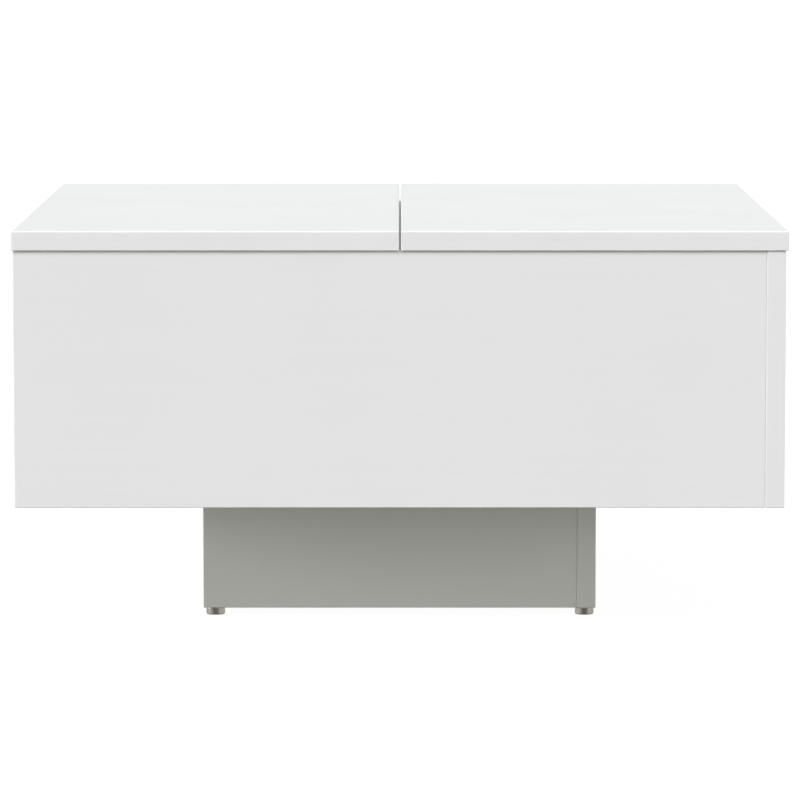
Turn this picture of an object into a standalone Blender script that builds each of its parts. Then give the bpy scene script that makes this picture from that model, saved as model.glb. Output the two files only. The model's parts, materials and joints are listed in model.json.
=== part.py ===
"""Lift top coffee table: a square box of white boards on a smaller plinth, under two lids.

Each lid rides on two pairs of parallel steel arms, one pair at the front wall and one at the back
wall, so it lifts up and outwards and stays level. The part stands on z = 0, centred on the Z axis,
with its front at -Y. Run it with: blender --background --python part.py
"""

import math

import bmesh
import bpy
from mathutils import Vector

# Whole table, in metres
TABLE_SIDE = 0.600  # across both lids, in X and in Y
TABLE_HEIGHT = 0.320
BOARD = 0.015  # thickness of every board
CLEARANCE = 0.0003  # between pieces that rest on each other
BOARD_ARRIS = 0.0008  # rounding of a board's edges

# Lids
LID_SLOT = 0.0014  # between the two lids
LID_ARRIS = 0.0010
LID_UNDERSIDE = TABLE_HEIGHT - BOARD

# Feet and plinth
FOOT_HEIGHT = 0.006
FOOT_RADIUS = 0.0076
FOOT_CHAMFER = 0.0006
FOOT_INSET = 0.0088  # from the plinth's outer faces to the foot's axis
SPIGOT_RADIUS = 0.002
SPIGOT_TOP = 0.016
PLINTH_SIDE = 0.315
PLINTH_HEIGHT = 0.099
CORNER_BLOCK = 0.028  # side of the square blocks inside the plinth's corners
CORNER_BLOCK_BASE = 0.016

# Cabinet
LID_OVERHANG = 0.002
END_STEP = 0.0008  # a board's free end stands this far out of its neighbour's face
CABINET_SIDE = TABLE_SIDE - 2 * LID_OVERHANG
CABINET_BASE = FOOT_HEIGHT + PLINTH_HEIGHT
CABINET_TOP = LID_UNDERSIDE - CLEARANCE
INNER_FACE = CABINET_SIDE / 2 - BOARD  # a wall's inner face, from the table's centre

# Lift linkage. "Out" is the distance from the centre plane x = 0 towards a lid's outer edge.
OUTER_PIVOT = Vector((0.240, 0.2493))  # out and height of the outer arm's lower pivot
INNER_OFFSET = Vector((-0.054, -0.025))  # from there to the inner arm's lower pivot
ARM_LENGTH = 0.160
CLOSED_ANGLE = math.radians(14)  # of the arms above horizontal, with the lid down
RAISED_ANGLE = math.radians(112)  # of the same arms when the lid is up

# Steel parts of the linkage
ARM_HALF_WIDTH = 0.009
PIN_RADIUS = 0.004
PIN_HEAD_RADIUS = 0.0065
PIN_HEAD_THICKNESS = 0.0012
RUNNING_FIT = 0.0001  # between a pin and its bore
BORE_RADIUS = PIN_RADIUS + RUNNING_FIT

# Base brackets, as (out, height) from the centre plane and the floor
BASE_LOW = Vector((0.160, 0.200))
BASE_HIGH = Vector((0.266, 0.272))
BASE_CORNER = 0.008  # radius of the two upper corners
BASE_LIP = 0.0025  # thickness of the bent lip along the lower edge
SCREW_HOLES = ((0.170, 0.262), (0.170, 0.210), (0.212, 0.262), (0.254, 0.210))
SCREW_HOLE_RADIUS = 0.0023
STOP_ALONG = 0.020  # from the outer pivot to the stop, along the raised arm
STOP_SIZE = (0.0030, 0.0100)

# Top brackets
TOP_MARGIN = 0.011  # steel round a pivot
TOP_FLANGE_OUT = (0.014, 0.104)
TOP_FLANGE_THICKNESS = 0.002

# Depths of the linkage's layers, from a wall's inner face into the cabinet
BASE_PLATE = (0.0003, 0.0028)
ARM_LAYER = (0.0050, 0.0080)
TOP_PLATE = (0.0103, 0.0123)
TOP_FLANGE_DEPTH = 0.034
BASE_LIP_DEPTH = 0.009
UPPER_PIN_START = 0.0035
SPRING_START = 0.0095

# Springs
WIRE_RADIUS = 0.0009
SPRING_RADIUS = 0.0075  # of the wire's centre line
SPRING_TURNS = 5
SPRING_PITCH = 0.0023
SPRING_LEG = 0.034
SPRING_CAP_RADIUS = 0.0088
SPRING_CAP_START = SPRING_START + SPRING_TURNS * SPRING_PITCH + WIRE_RADIUS + CLEARANCE

# Fineness of round shapes
ROUND_SIDES = 20  # of pins and their bores
HOLE_SIDES = 12  # of screw holes and the feet's bores
FOOT_SIDES = 24
TURN_POINTS = 14  # along one turn of a spring
TOUCHING = 1e-6  # two points closer than this are one point

SIDES = {"left": -1, "right": 1}
ENDS = {"front": -1, "back": 1}

MATERIALS = {
    "white_board": ((0.86, 0.87, 0.86, 1), 0.35, 0.0),
    "raw_wood": ((0.60, 0.45, 0.29, 1), 0.70, 0.0),
    "nickel_steel": ((0.62, 0.61, 0.57, 1), 0.20, 1.0),
    "zinc_steel": ((0.62, 0.63, 0.64, 1), 0.35, 1.0),
    "pin_steel": ((0.50, 0.51, 0.53, 1), 0.25, 1.0),
    "spring_steel": ((0.20, 0.20, 0.22, 1), 0.30, 1.0),
}


def clear_scene():
    for old in list(bpy.data.objects):
        bpy.data.objects.remove(old, do_unlink=True)


def make_materials():
    """One Principled material for each finish."""
    made = {}
    for name, (colour, roughness, metallic) in MATERIALS.items():
        material = bpy.data.materials.new(name)
        material.use_nodes = True
        material.diffuse_color = colour
        shader = material.node_tree.nodes["Principled BSDF"]
        shader.inputs["Base Color"].default_value = colour
        shader.inputs["Roughness"].default_value = roughness
        shader.inputs["Metallic"].default_value = metallic
        made[name] = material
    return made


def own_material(name, finish):
    """Each piece has its own copy of its finish."""
    material = FINISHES[finish].copy()
    material.name = name
    return material


def link(name, data, finish=None, parent=None):
    """Adds an object; an empty has neither data nor finish."""
    made = bpy.data.objects.new(name, data)
    bpy.context.scene.collection.objects.link(made)
    if finish:
        data.materials.append(own_material(name, finish))
    if parent:
        made.parent = parent
    return made


def mesh_from(bm, name, sharp_degrees=50):
    bmesh.ops.recalc_face_normals(bm, faces=bm.faces)
    if bm.calc_volume(signed=True) < 0:
        bmesh.ops.reverse_faces(bm, faces=bm.faces)
    mesh = bpy.data.meshes.new(name)
    bm.to_mesh(mesh)
    bm.free()
    mesh.shade_smooth()
    mesh.set_sharp_from_angle(angle=math.radians(sharp_degrees))
    return mesh


# Boards


def board_mesh(name, low, high, arris, square_base=False):
    """A box with rounded edges; with square_base its lowest edges stay sharp."""
    bm = bmesh.new()
    bmesh.ops.create_cube(bm, size=1)
    low, high = Vector(low), Vector(high)
    for vert in bm.verts:
        for axis in range(3):
            vert.co[axis] = low[axis] if vert.co[axis] < 0 else high[axis]
    rounded = []
    for edge in bm.edges:
        at_base = all(vert.co.z == low.z for vert in edge.verts)
        if not (square_base and at_base):
            rounded.append(edge)
    bmesh.ops.bevel(bm, geom=rounded, offset=arris, segments=2, profile=0.5, affect="EDGES")
    return mesh_from(bm, name)


def pinwheel(prefix, side, base, top):
    """Four equal boards round a square, each butting against the next one's inner face."""
    half = side / 2
    low = (-half - END_STEP, -half, base)
    high = (half - BOARD - CLEARANCE, -half + BOARD, top)
    boards = {}
    for quarter, place in enumerate(("front", "right", "back", "left")):
        name = f"{prefix}_{place}"
        boards[place] = link(name, board_mesh(name, low, high, BOARD_ARRIS), "white_board")
        boards[place].rotation_euler.z = quarter * math.pi / 2
    return boards


def add_cabinet():
    pinwheel("wall", CABINET_SIDE, CABINET_BASE, CABINET_TOP)
    reach = INNER_FACE - CLEARANCE
    floor_top = CABINET_BASE + BOARD
    pieces = {
        "bottom_panel": ((-reach, -reach, CABINET_BASE), (reach, reach, floor_top)),
        "divider": (
            (-BOARD / 2, -reach, floor_top + CLEARANCE),
            (BOARD / 2, reach, CABINET_TOP),
        ),
    }
    for name, (low, high) in pieces.items():
        link(name, board_mesh(name, low, high, BOARD_ARRIS), "white_board")


def add_lid(side, pivot):
    """A lid covers one half of the table, up to the slot in the middle."""
    name = f"lid_{side}"
    sign = SIDES[side]
    across = sorted((sign * LID_SLOT / 2, sign * TABLE_SIDE / 2))
    half = TABLE_SIDE / 2
    low = Vector((across[0], -half, LID_UNDERSIDE))
    high = Vector((across[1], half, TABLE_HEIGHT))
    mesh = board_mesh(name, low - pivot.location, high - pivot.location, LID_ARRIS, square_base=True)
    link(name, mesh, "white_board", parent=pivot)


# Turned pieces


def turned_mesh(name, profile, sides):
    """A solid of revolution about Z, from (height, radius) steps listed from bottom to top."""
    bm = bmesh.new()
    rings = []
    for height, radius in profile:
        ring = []
        for step in range(sides):
            angle = math.tau * step / sides
            ring.append(bm.verts.new((radius * math.cos(angle), radius * math.sin(angle), height)))
        rings.append(ring)
    for lower, upper in zip(rings, rings[1:]):
        for step in range(sides):
            after = (step + 1) % sides
            bm.faces.new((lower[step], lower[after], upper[after], upper[step]))
    bm.faces.new(reversed(rings[0]))
    bm.faces.new(rings[-1])
    return mesh_from(bm, name)


def quarter_turned(x, y, turn):
    """A point on the floor, turned about the Z axis."""
    return Vector((x * math.cos(turn) - y * math.sin(turn), x * math.sin(turn) + y * math.cos(turn), 0))


def add_plinth():
    """The plinth's boards, a foot under each corner and a block inside each corner."""
    top = CABINET_BASE - CLEARANCE
    boards = pinwheel("plinth", PLINTH_SIDE, FOOT_HEIGHT, top)
    foot_at = PLINTH_SIDE / 2 - FOOT_INSET
    foot_top = FOOT_HEIGHT - CLEARANCE
    foot_profile = (
        (0, FOOT_RADIUS - FOOT_CHAMFER),
        (FOOT_CHAMFER, FOOT_RADIUS),
        (foot_top, FOOT_RADIUS),
        (foot_top, SPIGOT_RADIUS),
        (SPIGOT_TOP, SPIGOT_RADIUS),
    )
    bore_radius = SPIGOT_RADIUS + CLEARANCE
    bore_profile = ((0, bore_radius), (SPIGOT_TOP + CLEARANCE, bore_radius))
    block_high = PLINTH_SIDE / 2 - BOARD - CLEARANCE
    block_low = block_high - CORNER_BLOCK
    corners = {"front": "front_left", "right": "front_right", "back": "back_right", "left": "back_left"}
    for quarter, (place, corner) in enumerate(corners.items()):
        turn = quarter * math.pi / 2
        foot_name = f"foot_{corner}"
        foot = link(foot_name, turned_mesh(foot_name, foot_profile, FOOT_SIDES), "nickel_steel")
        foot.location = quarter_turned(-foot_at, -foot_at, turn)
        cutter_name = f"foot_bore_{corner}"
        cutter = link(cutter_name, turned_mesh(cutter_name, bore_profile, HOLE_SIDES))
        cutter.location = foot.location
        cutter.hide_render = True
        cutter.display_type = "WIRE"
        cut = boards[place].modifiers.new("foot_bore", "BOOLEAN")
        cut.object = cutter
        block_name = f"corner_block_{corner}"
        low = (-block_high, -block_high, CORNER_BLOCK_BASE)
        high = (-block_low, -block_low, top)
        block = link(block_name, board_mesh(block_name, low, high, BOARD_ARRIS), "raw_wood")
        block.rotation_euler.z = turn


# Flat steel pieces. Their outlines are (out, height) points, from the centre plane and the floor.


def circle(centre, radius, sides=ROUND_SIDES):
    points = []
    for step in range(sides):
        angle = math.tau * (step + 0.5) / sides
        points.append((centre[0] + radius * math.cos(angle), centre[1] + radius * math.sin(angle)))
    return points


def hull(points):
    """The convex outline round the points, anticlockwise."""
    chain = []
    ordered = sorted(set(points))
    for run in (ordered, ordered[::-1]):
        start = len(chain)
        for point in run:
            while len(chain) >= start + 2 and turns_right(chain[-2], chain[-1], point):
                chain.pop()
            chain.append(point)
        chain.pop()
    return chain


def turns_right(a, b, c):
    return (b[0] - a[0]) * (c[1] - a[1]) - (b[1] - a[1]) * (c[0] - a[0]) <= 0


def rectangle(low, high):
    return [(low[0], low[1]), (high[0], low[1]), (high[0], high[1]), (low[0], high[1])]


def plate_bmesh(outline, holes, layer, lips=()):
    """A plate with holes, as (out, depth, height) points; each lip (loop, depth) stands further in.

    A lip's loop lies inside the outline, or shares whole edges with it from outside.
    """
    bm = bmesh.new()
    known = {}

    def loop_edges(loop):
        verts = []
        for point in loop:
            if point not in known:
                known[point] = bm.verts.new((point[0], layer[0], point[1]))
            verts.append(known[point])
        pairs = zip(verts, verts[1:] + verts[:1])
        return verts, [bm.edges.get(pair) or bm.edges.new(pair) for pair in pairs]

    edges = loop_edges(outline)[1]
    for hole in holes:
        edges += loop_edges(hole)[1]
    lip_verts = []
    for loop, _ in lips:
        verts, lip_edges = loop_edges(loop)
        lip_verts.append(verts)
        if not set(loop) & set(outline):
            edges += lip_edges
    bmesh.ops.triangle_fill(bm, use_beauty=True, edges=edges, normal=(0, 1, 0))
    for verts in lip_verts:
        bm.faces.new(verts)
    bmesh.ops.recalc_face_normals(bm, faces=bm.faces)
    raised = bmesh.ops.extrude_face_region(bm, geom=bm.faces[:])
    move_depth(raised["geom"], layer[1])
    for loop, depth in lips:
        corners = set(loop)
        top = next(f for f in bm.faces if is_lip_top(f, corners, layer[1]))
        raised = bmesh.ops.extrude_face_region(bm, geom=[top])
        move_depth(raised["geom"], depth)
        if top.is_valid:
            bm.faces.remove(top)
    return bm


def move_depth(geometry, depth):
    for item in geometry:
        if isinstance(item, bmesh.types.BMVert):
            item.co.y = depth


def is_lip_top(face, corners, depth):
    """Whether a face is the lip's own loop, raised to this depth."""
    if len(face.verts) != len(corners):
        return False
    near = all(abs(vert.co.y - depth) < CLEARANCE / 2 for vert in face.verts)
    if not near:
        return False
    return all(min(math.dist((v.co.x, v.co.z), c) for c in corners) < TOUCHING for v in face.verts)


def to_corner(bm, side, end, origin):
    """Moves (out, depth, height) points to one linkage's corner of the cabinet, about an origin."""
    for vert in bm.verts:
        out, depth, height = vert.co
        vert.co = (SIDES[side] * out, ENDS[end] * (INNER_FACE - depth), height)
        vert.co -= origin


def add_plate(name, outline, holes, layer, corner, origin, finish="zinc_steel", parent=None, lips=()):
    bm = plate_bmesh(outline, holes, layer, lips)
    to_corner(bm, *corner, origin)
    made = link(name, mesh_from(bm, name), finish, parent)
    if parent is None:
        made.location = origin
    return made


def arm_direction(angle):
    """From a lower pivot to the upper one, in (out, height); the arms point inwards when closed."""
    return Vector((-math.cos(angle), math.sin(angle)))


INNER_PIVOT = OUTER_PIVOT + INNER_OFFSET
LOWER_PIVOTS = {"outer": OUTER_PIVOT, "inner": INNER_PIVOT}
UPPER_PIVOTS = {name: at + ARM_LENGTH * arm_direction(CLOSED_ANGLE) for name, at in LOWER_PIVOTS.items()}


def stop_outline():
    """The bent tab that the raised outer arm rests against, on its outer side."""
    along = arm_direction(RAISED_ANGLE)
    outward = Vector((along.y, -along.x))
    near = OUTER_PIVOT + STOP_ALONG * along + (ARM_HALF_WIDTH + CLEARANCE) * outward
    corners = []
    for across, up in ((0, 0), (1, 0), (1, 1), (0, 1)):
        corners.append(tuple(near + across * STOP_SIZE[0] * outward + up * STOP_SIZE[1] * along))
    return corners


def add_base_bracket(side, end):
    """Screwed to the wall; it carries both lower pivots, the stop and a stiffening lip."""
    corners = []
    for out in (BASE_LOW.x + BASE_CORNER, BASE_HIGH.x - BASE_CORNER):
        corners += circle((out, BASE_HIGH.y - BASE_CORNER), BASE_CORNER)
    corners += [(BASE_LOW.x, BASE_LOW.y), (BASE_HIGH.x, BASE_LOW.y)]
    outline = hull(corners)
    lip = rectangle((BASE_LOW.x, BASE_LOW.y - BASE_LIP), (BASE_HIGH.x, BASE_LOW.y))
    holes = [circle(pivot, BORE_RADIUS) for pivot in LOWER_PIVOTS.values()]
    holes += [circle(spot, SCREW_HOLE_RADIUS, HOLE_SIDES) for spot in SCREW_HOLES]
    lips = ((lip, BASE_LIP_DEPTH), (stop_outline(), ARM_LAYER[1]))
    name = f"{side}_{end}_base_bracket"
    add_plate(name, outline, holes, BASE_PLATE, (side, end), Vector(), lips=lips)


def add_top_bracket(side, end, lid_pivot):
    """An angle under the lid; it carries both upper pivots."""
    flange_base = CABINET_TOP - TOP_FLANGE_THICKNESS
    points = [(out, flange_base) for out in TOP_FLANGE_OUT]
    for pivot in UPPER_PIVOTS.values():
        round_pivot = circle(pivot, TOP_MARGIN)
        points += [(out, min(height, flange_base)) for out, height in round_pivot]
    outline = hull(points)
    flange = rectangle((TOP_FLANGE_OUT[0], flange_base), (TOP_FLANGE_OUT[1], CABINET_TOP))
    holes = [circle(pivot, BORE_RADIUS) for pivot in UPPER_PIVOTS.values()]
    add_plate(
        f"{side}_{end}_top_bracket",
        outline,
        holes,
        TOP_PLATE,
        (side, end),
        lid_pivot.location,
        parent=lid_pivot,
        lips=((flange, TOP_FLANGE_DEPTH),),
    )


def add_arm(side, end, which):
    """An arm's origin is on its lower pivot."""
    lower = LOWER_PIVOTS[which]
    upper = UPPER_PIVOTS[which]
    outline = hull(circle(lower, ARM_HALF_WIDTH) + circle(upper, ARM_HALF_WIDTH))
    holes = [circle(lower, BORE_RADIUS), circle(upper, BORE_RADIUS)]
    origin = pivot_point(side, end, lower)
    add_plate(f"{side}_{end}_{which}_arm", outline, holes, ARM_LAYER, (side, end), origin)


def pivot_point(side, end, pivot):
    """A pivot's place, on the wall's inner face."""
    return Vector((SIDES[side] * pivot.x, ENDS[end] * INNER_FACE, pivot.y))


def add_pin(name, profile, side, end, pivot, parent=None):
    """A riveted pin; its profile's heights are depths into the cabinet."""
    pin = link(name, turned_mesh(name, profile, ROUND_SIDES), "pin_steel", parent)
    pin.location = pivot_point(side, end, pivot) - (parent.location if parent else Vector())
    pin.rotation_euler.x = ENDS[end] * math.pi / 2


def lower_pin_profile(cap_start, cap_radius):
    """Flush in the base plate, a collar that spaces the arm, and a cap on the free end."""
    return (
        (BASE_PLATE[0], PIN_RADIUS),
        (BASE_PLATE[1] + CLEARANCE, PIN_RADIUS),
        (BASE_PLATE[1] + CLEARANCE, PIN_HEAD_RADIUS),
        (ARM_LAYER[0] - CLEARANCE, PIN_HEAD_RADIUS),
        (ARM_LAYER[0] - CLEARANCE, PIN_RADIUS),
        (cap_start, PIN_RADIUS),
        (cap_start, cap_radius),
        (cap_start + PIN_HEAD_THICKNESS, cap_radius),
    )


UPPER_PIN_PROFILE = (
    (UPPER_PIN_START, PIN_HEAD_RADIUS),
    (ARM_LAYER[0] - CLEARANCE, PIN_HEAD_RADIUS),
    (ARM_LAYER[0] - CLEARANCE, PIN_RADIUS),
    (ARM_LAYER[1] + CLEARANCE, PIN_RADIUS),
    (ARM_LAYER[1] + CLEARANCE, PIN_HEAD_RADIUS),
    (TOP_PLATE[0] - CLEARANCE, PIN_HEAD_RADIUS),
    (TOP_PLATE[0] - CLEARANCE, PIN_RADIUS),
    (TOP_PLATE[1] + CLEARANCE, PIN_RADIUS),
    (TOP_PLATE[1] + CLEARANCE, PIN_HEAD_RADIUS),
    (TOP_PLATE[1] + CLEARANCE + PIN_HEAD_THICKNESS, PIN_HEAD_RADIUS),
)


def add_spring(side, end):
    """A torsion spring round the outer lower pin, with one leg lying along the closed arm."""
    along = arm_direction(CLOSED_ANGLE)
    across = Vector((along.y, -along.x))
    points = []
    for part in (1, 0.5):
        spot = OUTER_PIVOT + part * SPRING_LEG * along + SPRING_RADIUS * across
        points.append((spot.x, SPRING_START, spot.y))
    for step in range(SPRING_TURNS * TURN_POINTS + 1):
        turn = step / TURN_POINTS
        angle = math.tau * turn
        spot = OUTER_PIVOT + SPRING_RADIUS * (math.cos(angle) * across - math.sin(angle) * along)
        points.append((spot.x, SPRING_START + SPRING_PITCH * turn, spot.y))
    name = f"{side}_{end}_spring"
    wire = bpy.data.curves.new(name, "CURVE")
    wire.dimensions = "3D"
    wire.bevel_depth = WIRE_RADIUS
    wire.bevel_resolution = 1
    wire.use_fill_caps = True
    line = wire.splines.new("POLY")
    line.points.add(len(points) - 1)
    for point, (out, depth, height) in zip(line.points, points):
        point.co = (SIDES[side] * out, ENDS[end] * (INNER_FACE - depth), height, 1)
    line.use_smooth = True
    link(name, wire, "spring_steel")


def add_linkage(side, end, lid_pivot):
    """One pair of parallel arms with its brackets, pins and spring."""
    add_base_bracket(side, end)
    add_top_bracket(side, end, lid_pivot)
    add_spring(side, end)
    caps = {
        "outer": (SPRING_CAP_START, SPRING_CAP_RADIUS),
        "inner": (ARM_LAYER[1] + CLEARANCE, PIN_HEAD_RADIUS),
    }
    for which in LOWER_PIVOTS:
        add_arm(side, end, which)
        lower_profile = lower_pin_profile(*caps[which])
        add_pin(f"{side}_{end}_{which}_lower_pin", lower_profile, side, end, LOWER_PIVOTS[which])
        upper_name = f"{side}_{end}_{which}_upper_pin"
        add_pin(upper_name, UPPER_PIN_PROFILE, side, end, UPPER_PIVOTS[which], lid_pivot)


def add_lid_pivot(side):
    """The lid's origin: the upper pivot of its front outer arm, in the arm's middle layer."""
    pivot = link(f"{side}_lid_pivot", None)
    pivot.location = pivot_point(side, "front", UPPER_PIVOTS["outer"])
    pivot.location.y += sum(ARM_LAYER) / 2
    return pivot


clear_scene()
FINISHES = make_materials()
add_plinth()
add_cabinet()
for lid_side in SIDES:
    pivot_empty = add_lid_pivot(lid_side)
    add_lid(lid_side, pivot_empty)
    for wall_end in ENDS:
        add_linkage(lid_side, wall_end, pivot_empty)
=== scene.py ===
"""The looks of the lift top coffee table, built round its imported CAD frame.

Everything is in metres in the frame's own axes: +Z up, the front at -Y. Places come from the CAD
nodes' boxes and from the joints.
"""

import json
import math

import bmesh
import bpy
from mathutils import Matrix, Vector


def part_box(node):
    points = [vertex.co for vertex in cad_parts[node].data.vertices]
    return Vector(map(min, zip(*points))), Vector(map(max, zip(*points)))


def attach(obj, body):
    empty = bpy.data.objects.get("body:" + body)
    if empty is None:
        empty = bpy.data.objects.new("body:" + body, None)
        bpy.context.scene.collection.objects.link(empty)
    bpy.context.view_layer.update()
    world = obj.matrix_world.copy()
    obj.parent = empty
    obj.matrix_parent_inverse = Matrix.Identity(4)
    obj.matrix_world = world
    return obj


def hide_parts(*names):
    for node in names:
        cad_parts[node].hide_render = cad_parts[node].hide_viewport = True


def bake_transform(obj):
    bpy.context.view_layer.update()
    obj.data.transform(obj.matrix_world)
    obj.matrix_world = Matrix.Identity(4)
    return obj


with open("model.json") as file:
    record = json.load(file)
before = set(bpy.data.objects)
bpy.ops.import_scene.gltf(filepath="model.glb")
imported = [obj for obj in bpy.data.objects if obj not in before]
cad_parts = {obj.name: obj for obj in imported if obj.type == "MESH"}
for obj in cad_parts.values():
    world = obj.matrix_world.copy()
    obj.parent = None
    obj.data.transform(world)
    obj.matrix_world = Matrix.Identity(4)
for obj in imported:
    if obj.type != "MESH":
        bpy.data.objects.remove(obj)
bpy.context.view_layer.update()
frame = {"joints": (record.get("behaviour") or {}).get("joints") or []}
JOINTS = {joint["name"]: joint for joint in frame["joints"]}

MM = 0.001
CLEARANCE = 0.3 * MM  # between neighbouring pieces
SIDES = {"left": -1, "right": 1}
ENDS = {"front": -1, "back": 1}
WALLS = ("front", "right", "back", "left")

# Node trees


class Nodes:
    """Short names for building a node tree in front of its shader."""

    def __init__(self, tree, shader="Principled BSDF", coordinates="Object"):
        self.tree = tree
        self.shader = tree.nodes[shader]
        self.place = tree.nodes.new("ShaderNodeTexCoord").outputs[coordinates]

    def add(self, kind, inputs, **settings):
        """A node with its settings; its inputs, by name or number, are linked or set."""
        made = self.tree.nodes.new(kind)
        for name, value in settings.items():
            setattr(made, name, value)
        for socket, source in inputs.items():
            if isinstance(source, bpy.types.NodeSocket):
                self.tree.links.new(source, made.inputs[socket])
            else:
                made.inputs[socket].default_value = source
        return made

    def to(self, socket, source):
        """Feeds the source into one of the shader's sockets."""
        self.tree.links.new(source, self.shader.inputs[socket])

    def stretched(self, scale):
        """The place, stretched by a factor along each axis."""
        return self.add("ShaderNodeMapping", {"Vector": self.place, "Scale": scale}).outputs[0]

    def noise(self, where, scale=1, detail=2, roughness=0.5):
        inputs = {"Vector": where, "Scale": scale, "Detail": detail, "Roughness": roughness}
        return self.add("ShaderNodeTexNoise", inputs).outputs["Fac"]

    def ranged(self, value, low, high, start=0.3, end=0.7):
        """The value's run from start to end, spread from low to high."""
        inputs = {"Value": value, "From Min": start, "From Max": end, "To Min": low, "To Max": high}
        return self.add("ShaderNodeMapRange", inputs).outputs["Result"]

    def blended(self, factor, first, second):
        """A colour between two colours."""
        inputs = {"Factor": factor, "A": first, "B": second}
        return self.add("ShaderNodeMix", inputs, data_type="RGBA").outputs["Result"]

    def times(self, value, factor):
        return self.add("ShaderNodeMath", {0: value, 1: factor}, operation="MULTIPLY").outputs[0]

    def plus(self, first, second):
        return self.add("ShaderNodeMath", {0: first, 1: second}, operation="ADD").outputs[0]

    def bump(self, height, strength, distance):
        inputs = {"Height": height, "Strength": strength, "Distance": distance}
        self.to("Normal", self.add("ShaderNodeBump", inputs).outputs["Normal"])

    def sky(self, height, bands):
        """The bands' colours by height, from 0 straight down to 1 straight up."""
        node = self.add("ShaderNodeValToRGB", {"Fac": height})
        stops = node.color_ramp.elements
        edges = [(angle, colour) for start, end, colour in bands for angle in (start, end)]
        for index, (angle, colour) in enumerate(edges):
            position = 0.5 + 0.5 * math.sin(math.radians(angle))
            stop = stops[index] if index < len(stops) else stops.new(position)
            stop.position = position
            stop.color = (*colour, 1)
        return node.outputs["Color"]


# Camera

CAMERA_PLACE = (0, -4.1249, 0.5910)
CAMERA_PITCH = math.radians(5.996)
CAMERA_LENS = 223.82  # in millimetres
CAMERA_RANGE = 200


def add_camera():
    data = bpy.data.cameras.new("camera")
    data.lens = CAMERA_LENS
    data.clip_end = CAMERA_RANGE
    camera = bpy.data.objects.new("camera", data)
    camera.location = CAMERA_PLACE
    camera.rotation_euler = (math.pi / 2 - CAMERA_PITCH, 0, 0)
    bpy.context.scene.collection.objects.link(camera)
    bpy.context.scene.camera = camera


# Sky and lights

# The sky in bands by height angle in degrees, as (start, end, (R, G, B)). It differs between the
# camera's side, both flanks and the far side, which blend into each other.
BELOW = (
    (-90, -45, (0.20, 0.21, 0.17)),
    (-35, -17, (0.31, 0.30, 0.29)),
)
DIM_HORIZON = ((-13, -2, (0.15, 0.15, 0.14)),)
LIT_HORIZON = ((-13, -2, (0.55, 0.55, 0.51)),)
ABOVE = (
    (2, 13, (0.40, 0.41, 0.35)),
    (18, 32, (0.24, 0.245, 0.19)),
    (38, 57, (0.93, 0.95, 0.975)),
    (64, 90, (0.20, 0.21, 0.21)),
)
FAR_ABOVE = (
    (2, 30, (0.765, 0.79, 0.71)),
    (40, 57, (0.25, 0.26, 0.26)),
    (64, 90, (0.20, 0.21, 0.21)),
)
NEAR_SKY = BELOW + DIM_HORIZON + ABOVE
FLANK_SKY = BELOW + LIT_HORIZON + ABOVE
FAR_SKY = BELOW + LIT_HORIZON + FAR_ABOVE
NEAR_TO_FLANK = (-0.93, -0.60)  # where along a direction's Y the one turns into the other
FLANK_TO_FAR = (-0.05, 0.25)

LIGHTS = {  # name: (azimuth from the front to the right, elevation, width, strength, colour)
    "front": (0, 51, 32, 1.90, (1, 0.97, 1.055)),
    "left": (-80, 12, 20, 1.45, (1, 1, 1)),
    "right": (62, 12, 20, 0.46, (1, 1, 1)),
}
LOW_LIGHTS = ("left", "right")


def add_world():
    """Light from all round, as bright at each height angle as the bands above say."""
    world = bpy.data.worlds.new("studio")
    bpy.context.scene.world = world
    world.use_nodes = True
    nodes = Nodes(world.node_tree, "Background", "Generated")
    direction = nodes.add("ShaderNodeSeparateXYZ", {0: nodes.place})
    height = nodes.ranged(direction.outputs["Z"], 0, 1, -1, 1)
    near, flank, far = (nodes.sky(height, bands) for bands in (NEAR_SKY, FLANK_SKY, FAR_SKY))
    beside = nodes.ranged(direction.outputs["Y"], 0, 1, *NEAR_TO_FLANK)
    behind = nodes.ranged(direction.outputs["Y"], 0, 1, *FLANK_TO_FAR)
    nodes.to("Color", nodes.blended(behind, nodes.blended(beside, near, flank), far))


def add_light(name, azimuth, elevation, width, strength, colour):
    """A soft box so far off that it lights the whole table evenly. Angles are in degrees."""
    data = bpy.data.lights.new(name, "SUN")
    data.energy = strength
    data.angle = math.radians(width)
    data.color = colour
    light = bpy.data.objects.new(name, data)
    rise = math.radians(elevation)
    way = math.radians(azimuth)
    level = math.cos(rise)
    source = Vector((level * math.sin(way), -level * math.cos(way), math.sin(rise)))
    light.rotation_euler = source.to_track_quat("Z", "Y").to_euler()
    bpy.context.scene.collection.objects.link(light)
    return light


def add_lights(feet):
    """The low lights would glare off the top, so only the feet mirror them."""
    bright_metal = bpy.data.collections.new("bright_metal")
    for foot in feet:
        bright_metal.objects.link(foot)
    for name, settings in LIGHTS.items():
        light = add_light(name, *settings)
        if name in LOW_LIGHTS:
            light.visible_glossy = False
            gleam = add_light(f"{name}_gleam", *settings)
            gleam.light_linking.receiver_collection = bright_metal


# Stage

FLOOR_HALF_SIZE = 45
FLOOR_GLOW = 0.95
FLOOR_SHADE = 0.12  # how much real light the floor takes on top of its glow
DOME_RADIUS = 60
DOME_GLOW = 1.05


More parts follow.
